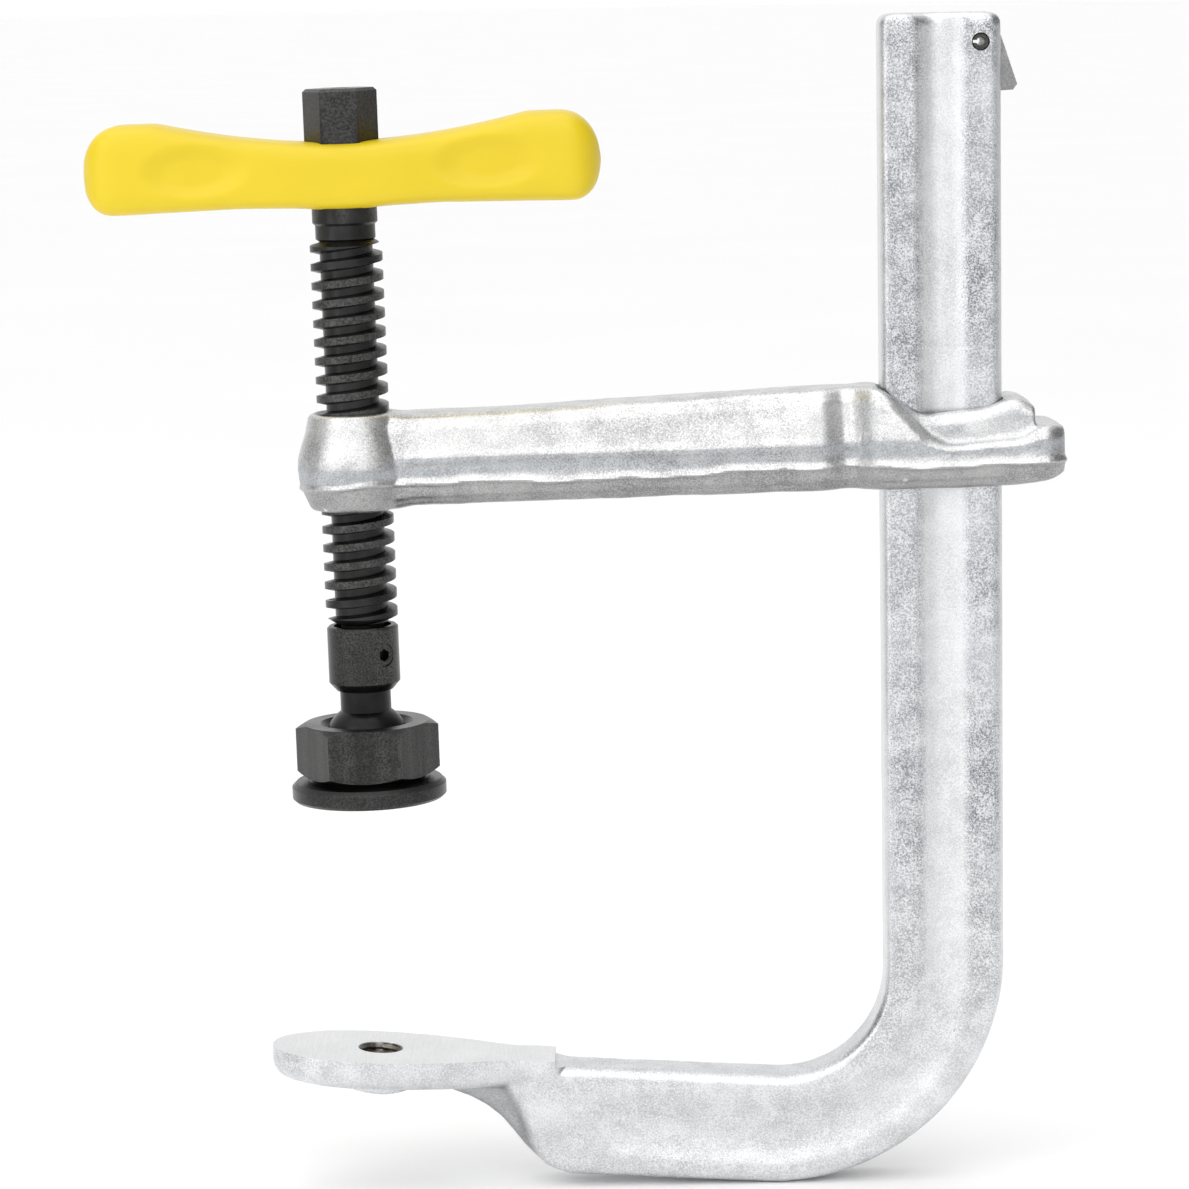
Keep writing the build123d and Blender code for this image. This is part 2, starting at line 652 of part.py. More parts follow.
with BuildPart() as pad_nut:
    with BuildSketch(level(NUT_LOW_H)):
        RegularPolygon(NUT_ACROSS_FLATS / 2, 6, major_radius=False)
    extrude(amount=NUT_HEIGHT)
    # corners turned off at both ends
    with BuildSketch(screw_side):
        with BuildLine():
            Polyline(
                (0, NUT_LOW_H - 1),
                (NUT_ACROSS_FLATS / 2, NUT_LOW_H - 1),
                (NUT_ACROSS_FLATS / 2, NUT_LOW_H),
                (nut_corner_radius + 0.2, NUT_LOW_H + 1.5),
                (nut_corner_radius + 0.2, nut_top_h - 1.5),
                (NUT_ACROSS_FLATS / 2, nut_top_h),
                (NUT_ACROSS_FLATS / 2, nut_top_h + 1),
                (0, nut_top_h + 1),
                close=True,
            )
        make_face()
    revolve(axis=Axis((0, 0, 0), screw_frame.z_dir), mode=Mode.INTERSECT)
    # threaded recess for the disc, spherical seat over the ball, countersunk mouth
    with BuildSketch(screw_side):
        with BuildLine():
            Polyline(
                (cavity_radius, cavity_h),
                (PAD_BOSS_RADIUS + 0.02, cavity_h),
                (PAD_BOSS_RADIUS + 0.02, NUT_LOW_H - 1),
                (0, NUT_LOW_H - 1),
                (0, nut_top_h + 1),
                (NUT_MOUTH_RADIUS + 1, nut_top_h + 1),
                (NUT_MOUTH_RADIUS, nut_top_h),
                (mouth_edge_radius, mouth_edge_h),
            )
            RadiusArc((mouth_edge_radius, mouth_edge_h), (cavity_radius, cavity_h), seat_radius)
        make_face()
    revolve(axis=Axis((0, 0, 0), screw_frame.z_dir), mode=Mode.SUBTRACT)

# ---------------------------------------------------------------- export

rail.part.label = "rail"
stop_latch.part.label = "stop_latch"
stop_roll_pin.part.label = "stop_roll_pin"
latch_spring.part.label = "latch_spring"
sliding_arm.part.label = "sliding_arm"
spindle.part.label = "spindle"
handle.part.label = "handle"
swivel_stud.part.label = "swivel_stud"
swivel_set_screw.part.label = "swivel_set_screw"
pad_disc.part.label = "pad_disc"
pad_nut.part.label = "pad_nut"

export_step(rail.part, "parts/rail.step")
export_step(stop_latch.part, "parts/stop_latch.step")
export_step(stop_roll_pin.part, "parts/stop_roll_pin.step")
export_step(latch_spring.part, "parts/latch_spring.step")
export_step(sliding_arm.part, "parts/sliding_arm.step")
export_step(spindle.part, "parts/spindle.step")
export_step(handle.part, "parts/handle.step")
export_step(swivel_stud.part, "parts/swivel_stud.step")
export_step(swivel_set_screw.part, "parts/swivel_set_screw.step")
export_step(pad_disc.part, "parts/pad_disc.step")
export_step(pad_nut.part, "parts/pad_nut.step")
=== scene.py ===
"""Looks of the sliding-arm bar clamp: forged and plated steel, blackened screw, yellow T-handle.

Blender works in metres. Shapes here are worked out in millimetres, in the frame of the CAD model
(+X from the foot to the rail, +Z up the rail, Y = 0 the middle plane), and scaled by MM at the end.
The arm, the screw and the handle lean by ARM_TILT: their own frame has a towards the rail, h up the
screw and the same Y.
"""

from math import cos, pi, radians, sin, sqrt, tan

import bmesh
import bpy
import numpy as np
from mathutils import Matrix, Vector, noise


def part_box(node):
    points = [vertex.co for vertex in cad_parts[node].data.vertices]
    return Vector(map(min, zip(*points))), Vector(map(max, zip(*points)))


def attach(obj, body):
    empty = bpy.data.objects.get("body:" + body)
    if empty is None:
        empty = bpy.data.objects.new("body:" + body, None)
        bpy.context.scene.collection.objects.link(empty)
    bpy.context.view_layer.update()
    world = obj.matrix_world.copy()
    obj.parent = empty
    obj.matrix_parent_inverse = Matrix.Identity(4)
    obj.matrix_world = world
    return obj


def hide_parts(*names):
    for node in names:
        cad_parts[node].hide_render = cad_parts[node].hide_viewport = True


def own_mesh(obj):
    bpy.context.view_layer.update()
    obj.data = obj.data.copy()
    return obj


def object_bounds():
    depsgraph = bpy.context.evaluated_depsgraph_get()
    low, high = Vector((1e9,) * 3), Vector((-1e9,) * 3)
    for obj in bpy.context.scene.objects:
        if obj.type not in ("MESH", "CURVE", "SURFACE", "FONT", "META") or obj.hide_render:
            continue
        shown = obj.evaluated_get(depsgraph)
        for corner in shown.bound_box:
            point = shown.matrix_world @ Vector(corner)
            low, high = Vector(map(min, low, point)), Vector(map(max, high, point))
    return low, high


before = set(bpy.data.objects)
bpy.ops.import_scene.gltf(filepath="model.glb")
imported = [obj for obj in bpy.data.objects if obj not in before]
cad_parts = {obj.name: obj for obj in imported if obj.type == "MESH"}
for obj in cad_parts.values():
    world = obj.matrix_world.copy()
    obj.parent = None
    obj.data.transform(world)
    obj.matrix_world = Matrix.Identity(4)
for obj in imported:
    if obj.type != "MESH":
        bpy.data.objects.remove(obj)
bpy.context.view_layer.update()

MM = 0.001
ARM_TILT = radians(1.02)
TOE_IN = radians(3.4)


def node_span(node, axis):
    """Lowest and highest coordinate of a CAD node along an axis, in millimetres."""
    low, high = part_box(node)
    return low[axis] / MM, high[axis] / MM


# ---------------------------------------------------------------- sizes

RAIL_HALF_THICKNESS = 8.0
RAIL_OUTER_X = node_span("rail", 0)[1]
RAIL_TOP_Z = node_span("rail", 2)[1]
RAIL_WIDTH = 32.0
RAIL_INNER_X = RAIL_OUTER_X - RAIL_WIDTH
RAIL_EDGE = 3.0
INNER_BEND = 28.0
OUTER_BEND = 62.0
BAR_HEIGHT = 30.0
GROOVE_MIDDLE = 15.2
GROOVE_HALF = 7.4
GROOVE_DEPTH = 2.3
BAR_TOP_AT_STEP = -4.6
STEP_X = 47.5
FOOT_TIP_X = -29.5
FOOT_THICKNESS = 8.5
FOOT_BOSS_RADIUS = 8.5
FOOT_BOSS_HEIGHT = 2.2
FOOT_HOLE = 5.1
FOOT_HOLE_MOUTH = 6.2
FOOT_THREAD_DEPTH = 0.85
FOOT_THREAD_PITCH = 1.75
FOOT_HALF_CUT = 30.0
HEEL_X = 44.0
LOWER_GROOVE_MIDDLE = 15.5
LOWER_GROOVE_HALF = 9.8
WEB_END_X = 9.0
WEB_SLIMNESS = 0.5
LATCH_SLOT_INNER_X = 155.4
LATCH_SLOT_LOW_Z = 252.8
LATCH_SLOT_HIGH_Z = 274.2
LATCH_SLOT_HALF = 2.3
LATCH_PIN_RADIUS = 2.03
SPRING_POCKET_X = 149.5
SPRING_POCKET_Z = 258.3
SPRING_POCKET_RADIUS = 1.85

PARTING_H = 155.0
COLLAR_ROUND_FROM = 182.0
COLLAR_END = 188.2
COLLAR_END_HALF = 9.3
COLLAR_ROUNDING = 6.0
RAIL_SLOT_LENGTH = 33.2
RAIL_SLOT_WIDTH = 16.7
RAIL_SLOT_RADIUS = 2.6
RAIL_SLOT_MIDDLE = 155.9
BORE_RADIUS = 9.78

# ---------------------------------------------------------------- mesh helpers


def new_object(name, mesh):
    """Object with that mesh, in the scene."""
    made = bpy.data.objects.new(name, mesh)
    bpy.context.scene.collection.objects.link(made)
    return made


def mesh_object(name, points, faces):
    """Object from points in millimetres."""
    mesh = bpy.data.meshes.new(name)
    mesh.from_pydata([tuple(p) for p in np.asarray(points, float) * MM], [], faces)
    mesh.validate()
    made = new_object(name, mesh)
    work = bmesh.new()
    work.from_mesh(mesh)
    bmesh.ops.recalc_face_normals(work, faces=work.faces)
    work.to_mesh(mesh)
    work.free()
    return made


def loft(name, rings):
    """Closed skin through rings of equally many points, with a flat cap on each end."""
    rings = [np.asarray(ring, float) for ring in rings]
    count = len(rings[0])
    faces = []
    for k in range(len(rings) - 1):
        for j in range(count):
            n = (j + 1) % count
            faces.append((k * count + j, k * count + n, (k + 1) * count + n, (k + 1) * count + j))
    last = (len(rings) - 1) * count
    faces.append(tuple(range(count)))
    faces.append(tuple(last + j for j in reversed(range(count))))
    return mesh_object(name, np.vstack(rings), faces)


def bake_modifiers(piece):
    """The piece's mesh becomes what its modifiers make of it."""
    graph = bpy.context.evaluated_depsgraph_get()
    mesh = bpy.data.meshes.new_from_object(piece.evaluated_get(graph))
    piece.modifiers.clear()
    piece.data = mesh


def remove(*pieces):
    """Takes working pieces out of the scene."""
    for piece in pieces:
        bpy.data.objects.remove(piece)


def fuse(name, parts, voxel, smoothing):
    """One forged body from overlapping closed parts, with its inner corners rounded like a forging's."""
    work = bmesh.new()
    for part in parts:
        work.from_mesh(part.data)
    mesh = bpy.data.meshes.new(name)
    work.to_mesh(mesh)
    work.free()
    remove(*parts)
    body = new_object(name, mesh)
    voxels = body.modifiers.new("voxels", "REMESH")
    voxels.mode = "VOXEL"
    voxels.voxel_size = voxel * MM
    soften = body.modifiers.new("soften", "SMOOTH")
    soften.factor = 0.5
    soften.iterations = smoothing
    bake_modifiers(body)
    return body


def cut(body, cutters):
    """Machined cuts, made one after another with crisp edges."""
    for cutter in cutters:
        step = body.modifiers.new("cut", "BOOLEAN")
        step.operation = "DIFFERENCE"
        step.solver = "EXACT"
        step.object = cutter
        bake_modifiers(body)
    remove(*cutters)


def coordinates(piece):
    """Places of the piece's vertices, in millimetres."""
    found = np.zeros(len(piece.data.vertices) * 3)
    piece.data.vertices.foreach_get("co", found)
    return found.reshape(-1, 3) / MM


def push_along_normals(piece, distance):
    """Moves each vertex along its normal by its own distance in millimetres."""
    normals = np.zeros(len(piece.data.vertices) * 3)
    piece.data.vertices.foreach_get("normal", normals)
    moved = coordinates(piece) + normals.reshape(-1, 3) * np.asarray(distance)[:, None]
    piece.data.vertices.foreach_set("co", (moved * MM).ravel())
    piece.data.update()


def shade(piece, angle=35.0):
    """Smooth shading with sharp edges kept above an angle in degrees."""
    work = bmesh.new()
    work.from_mesh(piece.data)
    for face in work.faces:
        face.smooth = True
    for edge in work.edges:
        edge.smooth = len(edge.link_faces) == 2 and edge.calc_face_angle(0) < radians(angle)
    work.to_mesh(piece.data)
    work.free()


def lumps(points, size, seed):
    """Smooth hand-forged unevenness between -1 and 1 at each point, size millimetres across."""
    shift = Vector((seed * 17.3, seed * 5.1, seed * 9.7))
    return np.array([noise.noise(Vector(p) / size + shift) for p in points])


def smoothstep(x, low, high):
    """0 below low, 1 above high, and a smooth S between them."""
    t = np.clip((np.asarray(x, float) - low) / (high - low), 0, 1)
    return t * t * (3 - 2 * t)


def box_cutter(name, corners_xz, half_width, middle_y=0.0):
    """Prism along Y from a closed side outline."""
    rings = []
    for y in (middle_y - half_width, middle_y + half_width):
        rings.append([(x, y, z) for x, z in corners_xz])
    return loft(name, rings)


def turned(name, profile, origin, axis, steps=72):
    """Solid of revolution from (radius, height) pairs, along an axis from an origin in millimetres."""
    turn = Vector((0, 0, 1)).rotation_difference(Vector(axis)).to_matrix()
    rings = []
    for radius, height in profile:
        ring = []
        for k in range(steps):
            angle = 2 * pi * k / steps
            ring.append(Vector(origin) + turn @ Vector((radius * cos(angle), radius * sin(angle), height)))
        rings.append(ring)
    return loft(name, rings)


def leaning(a, y, h):
    """Point of the screw's own frame, in the row frame."""
    return (a * cos(ARM_TILT) - h * sin(ARM_TILT), y, a * sin(ARM_TILT) + h * cos(ARM_TILT))


def upright(points):
    """Row frame points in the screw's own frame, as a, y and h."""
    x, y, z = np.asarray(points).T
    return x * cos(ARM_TILT) + z * sin(ARM_TILT), y, z * cos(ARM_TILT) - x * sin(ARM_TILT)


SCREW_AXIS = (-sin(ARM_TILT), 0, cos(ARM_TILT))


def on_foot(x, y, below):
    """Point at a place on the foot's clamping face, and so far below it."""
    return (x * cos(TOE_IN) - below * sin(TOE_IN), y, -x * sin(TOE_IN) - below * cos(TOE_IN))


# ---------------------------------------------------------------- rail


def bar_top(x):
    """Height of the lower arm's upper face."""
    return BAR_TOP_AT_STEP - (x - STEP_X) * tan(TOE_IN)


def corner_arc(middle, radius, start, stop, count):
    """Arc in the side view between two angles in degrees, measured from +X."""
    angles = np.radians(np.linspace(start, stop, count))
    return [(middle[0] + radius * cos(t), middle[1] + radius * sin(t)) for t in angles]


def rail_stations():
    """Stations from the rail's top to the foot, each with the values that rail_ring takes."""
    toe = np.degrees(TOE_IN)
    inner_middle_x = RAIL_INNER_X - INNER_BEND
    inner_middle_z = bar_top(inner_middle_x) + INNER_BEND / cos(TOE_IN)
    outer_middle_x = RAIL_OUTER_X - OUTER_BEND
    outer_middle_z = bar_top(outer_middle_x) - BAR_HEIGHT + OUTER_BEND / cos(TOE_IN)
    stations = []

    # rounded top
    for inset in np.linspace(0, 1, 7)[:-1]:
        rounding = RAIL_EDGE * (1 - sqrt(1 - (1 - inset) ** 2))
        z = RAIL_TOP_Z - RAIL_EDGE * inset
        width = RAIL_HALF_THICKNESS - 0.4 * rounding
        a = (RAIL_INNER_X + rounding, z)
        b = (RAIL_OUTER_X - rounding, z)
        stations.append((a, b, width, GROOVE_MIDDLE - rounding, GROOVE_HALF, GROOVE_DEPTH))

    # upright
    for t in np.linspace(0, 1, 90):
        a = (RAIL_INNER_X, RAIL_TOP_Z - RAIL_EDGE + t * (inner_middle_z - RAIL_TOP_Z + RAIL_EDGE))
        b = (RAIL_OUTER_X, RAIL_TOP_Z - RAIL_EDGE + t * (outer_middle_z - RAIL_TOP_Z + RAIL_EDGE))
        stations.append((a, b, RAIL_HALF_THICKNESS, GROOVE_MIDDLE, GROOVE_HALF, GROOVE_DEPTH))

    # bend, where the groove widens
    bend_in = corner_arc((inner_middle_x, inner_middle_z), INNER_BEND, 0, toe - 90, 40)
    bend_out = corner_arc((outer_middle_x, outer_middle_z), OUTER_BEND, 0, toe - 90, 40)
    for k in range(1, 40):
        t = k / 39
        groove = (GROOVE_MIDDLE + 0.3 * t, GROOVE_HALF + 2.2 * t, GROOVE_DEPTH - 0.4 * t)
        stations.append((bend_in[k], bend_out[k], RAIL_HALF_THICKNESS, *groove))

    # lower arm, where the groove fades towards the foot
    bar_start = bend_in[-1][0]
    under_start = bend_out[-1][0]
    for t in np.linspace(0, 1, 34)[1:]:
        x = bar_start + t * (STEP_X + 3 - bar_start)
        under = under_start + t * (HEEL_X + 7 - under_start)
        fade = smoothstep(x, STEP_X + 2, STEP_X + 22)
        a = (x, bar_top(x))
        b = (under, bar_top(under) - BAR_HEIGHT)
        groove = (LOWER_GROOVE_MIDDLE, LOWER_GROOVE_HALF, 0.35 + 1.65 * float(fade))
        stations.append((a, b, RAIL_HALF_THICKNESS, *groove))

    # hollow under the foot: the heel turns up into a tapering web
    heel_z = bar_top(HEEL_X) - BAR_HEIGHT
    web = [(47.5, heel_z + 0.7), (44.4, heel_z + 2.2), (41.6, heel_z + 4.4)]
    web += [(38.6, -27.0), (35.6, -22.9), (32.6, -19.3), (28.8, -16.0)]
    web += [(24.2, -13.4), (19.5, -11.5), (14.5, -9.9), (10.0, -8.4)]
    for k, under in enumerate(web):
        t = (k + 1) / len(web)
        x = STEP_X + 3 - t * (STEP_X + 3 - WEB_END_X)
        top_z = on_foot(x, 0, 2.5)[2] if x < STEP_X else bar_top(x)
        groove = (LOWER_GROOVE_MIDDLE, LOWER_GROOVE_HALF, 0.3 * (1 - t))
        stations.append(((x, top_z), under, RAIL_HALF_THICKNESS, *groove))
    return stations


def rail_ring(a, b, half_width, middle, half_groove, deep):
    """Closed section between an inner and an outer edge point: rounded corners, a groove each side."""
    a, b = np.array(a), np.array(b)
    height = float(np.linalg.norm(b - a))
    radius = min(RAIL_EDGE, 0.45 * height, 0.7 * half_width)
    profile = [(y, 0.0) for y in np.linspace(0, half_width - radius, 5)]
    for angle in np.radians(np.linspace(15, 75, 5)):
        profile.append((half_width - radius + radius * sin(angle), radius - radius * cos(angle)))
    for n in np.linspace(radius, height - radius, 44):
        across = min(1.0, abs(n - middle * height / BAR_HEIGHT) / half_groove) if height > 20 else 1.0
        profile.append((half_width - deep * (1 - across**2) ** 1.35, n))
    for angle in np.radians(np.linspace(75, 15, 5)):
        profile.append((half_width - radius + radius * sin(angle), height - radius + radius * cos(angle)))
    profile += [(y, height) for y in np.linspace(half_width - radius, 0, 5)]
    mirrored = [(-y, n) for y, n in reversed(profile[1:-1])]
    along = (b - a) / height
    ring = []
    for y, n in profile + mirrored:
        x, z = a[0] + along[0] * n, a[1] + along[1] * n
        front_x = 36.8 + max(0.0, -11.0 - z) * 0.37
        slim = WEB_SLIMNESS + (1 - WEB_SLIMNESS) * float(smoothstep(x, front_x - 3.2, front_x + 0.4))
        ring.append((x, y * (slim if x < STEP_X else 1.0), z))
    return ring


def smooth_curve(knots, count):
    """Catmull-Rom curve through plane points."""
    knots = [np.array(k, float) for k in knots]
    padded = [2 * knots[0] - knots[1]] + knots + [2 * knots[-1] - knots[-2]]
    found = []
    for s in range(len(knots) - 1):
        p0, p1, p2, p3 = padded[s : s + 4]
        for t in np.linspace(0, 1, count, endpoint=False):
            found.append(
                0.5
                * (
                    2 * p1
                    + (p2 - p0) * t
                    + (2 * p0 - 5 * p1 + 4 * p2 - p3) * t**2
                    + (3 * p1 - p0 - 3 * p2 + p3) * t**3
                )
            )
    found.append(knots[-1])
    return found


def foot_plate():
    """Plate of the foot: rounded tip, soft underside."""
    side = smooth_curve(
        [
            (FOOT_TIP_X, 0),
            (FOOT_TIP_X + 1.4, 6.0),
            (FOOT_TIP_X + 6.0, 11.4),
            (FOOT_TIP_X + 14.0, 15.8),
            (-4, 17.5),
            (10, 16.4),
            (23, 13.0),
            (31.5, 9.9),
            (37, 8.4),
            (42, 8.7),
            (47.6, 8.3),
            (50.5, 5.0),
        ],
        10,
    )
    outline = np.array(side + [(p[0], -p[1]) for p in reversed(side[1:])])
    before = np.roll(outline, 1, axis=0)
    after = np.roll(outline, -1, axis=0)
    along = after - before
    outward = np.stack([-along[:, 1], along[:, 0]], axis=1)
    outward /= np.linalg.norm(outward, axis=1)[:, None]
    steps = [(0.0, -1.0), (0.0, 3.2)]
    for angle in np.radians(np.linspace(10, 80, 8)):
        steps.append((5.3 * (1 - cos(angle)), 3.2 + 5.3 * sin(angle)))
    rings = []
    for inset, below in steps:
        ring = outline - outward * inset
        rings.append([on_foot(x, y, below) for x, y in ring])
    return loft("foot_plate", rings)


def threaded_cutter(name, origin, axis, core, crest, pitch, length, mouth):
    """Cutter with a single-start V thread, and a countersink at each end."""
    turn = Vector((0, 0, 1)).rotation_difference(Vector(axis)).to_matrix()
    around = 64
    rows = int(length / pitch * 10)
    rings = []
    for r in range(rows + 1):
        height = length * r / rows
        ring = []
        for k in range(around):
            angle = 2 * pi * k / around
            phase = (height / pitch - k / around) % 1.0
            deep = abs(2 * phase - 1)
            radius = core + (crest - core) * deep
            edge = min(height, length - height)
            radius = max(radius, mouth - edge) if edge < mouth - core else radius
            ring.append(Vector(origin) + turn @ Vector((radius * cos(angle), radius * sin(angle), height)))
        rings.append(ring)
    return loft(name, rings)


bar = loft("bar", [rail_ring(*station) for station in rail_stations()])
boss_axis = on_foot(0, 0, 1)
boss = turned(
    "boss",
    [
        (FOOT_BOSS_RADIUS + 0.4, FOOT_THICKNESS - 2),
        (FOOT_BOSS_RADIUS, FOOT_THICKNESS),
        (FOOT_BOSS_RADIUS - 0.2, FOOT_THICKNESS + FOOT_BOSS_HEIGHT + 0.4),
    ],
    (0, 0, 0),
    boss_axis,
)
rail = fuse("rail_forging", [bar, foot_plate(), boss], 0.62, 5)

# uneven forging skin, calm on the rail's sliding length
points = coordinates(rail)
rough = 0.25 + 0.75 * smoothstep(-points[:, 2], -30, 10)
push_along_normals(rail, rough * (0.14 * lumps(points, 13.0, 1) + 0.07 * lumps(points, 5.0, 2)))

foot_face_cut = [on_foot(x, 0, below) for x, below in ((-40, 0), (STEP_X, 0), (STEP_X, -8), (-40, -8))]
step_cut = [
    (STEP_X, bar_top(STEP_X)),
    (STEP_X + 5, bar_top(STEP_X + 5)),
    (STEP_X + 5, bar_top(STEP_X) + 6),
    (STEP_X, bar_top(STEP_X) + 6),
]
pin_low, pin_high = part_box("stop_roll_pin")
pivot = ((pin_low.x + pin_high.x) / 2 / MM, 0, (pin_low.z + pin_high.z) / 2 / MM)
pin_hole = [(2.6, -9), (2.35, -7.9), (LATCH_PIN_RADIUS, -7.4)]
latch_slot = [
    (LATCH_SLOT_INNER_X, LATCH_SLOT_LOW_Z),
    (RAIL_OUTER_X + 3, LATCH_SLOT_LOW_Z),
    (RAIL_OUTER_X + 3, LATCH_SLOT_HIGH_Z),
    (LATCH_SLOT_INNER_X, LATCH_SLOT_HIGH_Z),
]
cut(
    rail,
    [
        box_cutter("face", [(x, z) for x, _, z in foot_face_cut], FOOT_HALF_CUT),
        box_cutter("step", step_cut, FOOT_HALF_CUT),
        threaded_cutter(
            "hole",
            tuple(-0.01 * c for c in boss_axis),
            boss_axis,
            FOOT_HOLE,
            FOOT_HOLE + FOOT_THREAD_DEPTH,
            FOOT_THREAD_PITCH,
            FOOT_THICKNESS + FOOT_BOSS_HEIGHT + 0.3,
            FOOT_HOLE_MOUTH,
        ),
        box_cutter("slot", latch_slot, LATCH_SLOT_HALF),
        turned("pin_hole", pin_hole + [(r, -y) for r, y in reversed(pin_hole)], pivot, (0, 1, 0), 48),
        turned(
            "spring_hole",
            [(SPRING_POCKET_RADIUS, 0), (SPRING_POCKET_RADIUS, 7)],
            (SPRING_POCKET_X, 0, SPRING_POCKET_Z),
            (1, 0, 0),
            32,
        ),
    ],
)
shade(rail, 32)
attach(rail, "frame")
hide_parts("rail")

# ---------------------------------------------------------------- sliding arm


def follow(x, knots, rounding=2.0):
    """Straight lines through (place, value) pairs, with rounded corners."""
    places, values = np.array(knots).T
    return float(np.mean(np.interp(x + np.linspace(-rounding, rounding, 11), places, values)))


BAND_TOP = [(-16, 173.8), (9, 173.8), (13, 173.2), (40, 173.5), (132, 176.4), (138, 176.6)]
BAND_TOP += [(141.5, 175.0), (152.4, 163.2), (157, 160.9), (177, 162.3), (181, 165.3)]
BAND_TOP += [(186.5, 165.2), (188.2, 163.4)]
BAND_BOTTOM = [(-16, 148.0), (11.5, 148.0), (15.5, 149.1), (175, 149.1), (184, 150.2), (188.2, 152.4)]
BAND_HALF = [(9, 10.4), (22, 11.9), (125, 11.9), (129.5, 9.0), (132, 9.0), (138, 14.4)]
BAND_HALF += [(141, 15.3), (182, 15.3)]
WALL_TOP = [(137, 176.4), (140, 175.4), (151, 168.6), (168, 170.3), (173.5, 172.6)]
WALL_TOP += [(177, 172.3), (180.4, 169.5)]


def arm_half_width(a):
    """Half width of the forging at its parting plane."""
    if a > COLLAR_ROUND_FROM:
        share = (a - COLLAR_ROUND_FROM) / (COLLAR_END - COLLAR_ROUND_FROM)
        return COLLAR_END_HALF + COLLAR_ROUNDING * sqrt(max(0.0, 1 - share**2))
    return follow(a, BAND_HALF)


def parting(a):
    """Height of the parting line."""
    return PARTING_H + 1.0 * a / COLLAR_END


def arm_ring(a, half_width, bottom, top, split, upper_draft, lower_draft, edge, land=6.4):
    """Closed section of the forging: drafted up and down, with an upright land above the parting line."""
    below = split - bottom
    above = top - split
    low = max(0.15, half_width - below * tan(radians(lower_draft)))
    high = max(0.15, half_width - max(0.0, above - land) * tan(radians(upper_draft)))
    radius_low = min(edge, 0.8 * low, 0.45 * below)
    radius_high = min(edge, 0.8 * high, 0.45 * above)
    profile = [(y, bottom) for y in np.linspace(0, low - radius_low, 5)]
    for angle in np.radians(np.linspace(15, 75, 4)):
        profile.append((low - radius_low + radius_low * sin(angle), bottom + radius_low * (1 - cos(angle))))
    for t in np.linspace(0, 1, 8):
        h = bottom + radius_low + t * (below - radius_low)
        profile.append((low + (half_width - low) * (h - bottom) / below, h))
    for t in np.linspace(0, 1, 24)[1:]:
        h = split + t * (above - radius_high)
        trimmed = half_width - 0.3 * sin(pi * min(1.0, (h - split) / land))
        profile.append((min(trimmed, half_width - (h - split - land) * tan(radians(upper_draft))), h))
    for angle in np.radians(np.linspace(75, 15, 4)):
        profile.append((high - radius_high + radius_high * sin(angle), top - radius_high * (1 - cos(angle))))
    profile += [(y, top) for y in np.linspace(high - radius_high, 0, 5)]
    mirrored = [(-y, h) for y, h in reversed(profile[1:-1])]
    return [leaning(a, y, h) for y, h in profile + mirrored]


def band_ring(a):
    """Section of the shaft and of the collar's lower tier."""
    bottom, top = follow(a, BAND_BOTTOM), follow(a, BAND_TOP)
    return arm_ring(a, arm_half_width(a), bottom, top, parting(a), 11, 18, 3.2)


def wall_ring(a):
    """Section of the collar's upper tier."""
    return arm_ring(a, 12.9, 154.0, follow(a, WALL_TOP), 156.0, 5, 0, 2.6, 0.1)


band_places = list(np.linspace(0, COLLAR_ROUND_FROM, 130))
collar_bow = COLLAR_END - COLLAR_ROUND_FROM
band_places += list(COLLAR_ROUND_FROM + collar_bow * np.sin(np.linspace(0.2, pi / 2, 8)))
band = loft("band", [band_ring(a) for a in band_places])
wall = loft("wall", [wall_ring(a) for a in np.linspace(137.5, 180.4, 40)])
hub = turned(
    "hub",
    [
        (11.2, 148.0),
        (12.3, 148.5),
        (13.4, 151.0),
        (14.6, 153.8),
        (15.2, 156.4),
        (15.5, 159.4),
        (15.1, 162.4),
        (14.1, 165.6),
        (13.0, 169.0),
        (12.3, 171.8),
        (11.9, 173.2),
        (11.2, 173.8),
    ],
    (0, 0, 0),
    SCREW_AXIS,
    96,
)
arm = fuse("sliding_arm_forging", [band, wall, hub], 0.5, 10)

points = coordinates(arm)
place, across, height = upright(points)
wander = 0.42 * np.sin(place / 15.0) + 0.28 * np.sin(place / 5.3 + 1.0) + 0.14 * np.sin(place / 2.2)
flash = np.exp(-(((height - parting(place) - wander) / 0.7) ** 2))
seam = np.exp(-(((height - 161.6 - 0.4 * np.sin(place / 23.0)) / 1.6) ** 2)) * (place > 14) * (place < 134)
swell = 0.2 * lumps(points, 15.0, 3) + 0.12 * lumps(points, 6.0, 4) + 0.05 * lumps(points, 2.6, 5)
push_along_normals(arm, 0.6 * flash + 0.3 * seam + swell)


def slot_outline(length, width, radius, middle):
    """Rounded rectangle around the rail, in the arm's own plan."""
    found = []
    corners = ((1, 1, 0), (-1, 1, 90), (-1, -1, 180), (1, -1, 270))
    for along, side, start in corners:
        for angle in np.radians(np.linspace(start, start + 90, 8)):
            x = middle + along * (length / 2 - radius) + radius * cos(angle)
            found.append((x, side * (width / 2 - radius) + radius * sin(angle)))
    return found


opening = slot_outline(RAIL_SLOT_LENGTH, RAIL_SLOT_WIDTH, RAIL_SLOT_RADIUS, RAIL_SLOT_MIDDLE)
slot_cutter = loft("rail_slot", [[leaning(a, y, h) for a, y in opening] for h in (140, 185)])
bore_cutter = turned(
    "bore",
    [(11.4, 146.5), (BORE_RADIUS, 149.2), (BORE_RADIUS, 172.9), (11.2, 174.6)],
    (0, 0, 0),
    SCREW_AXIS,
    96,
)
cut(arm, [slot_cutter, bore_cutter])
shade(arm, 38)
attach(arm, "arm")
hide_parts("sliding_arm")

# ---------------------------------------------------------------- handle

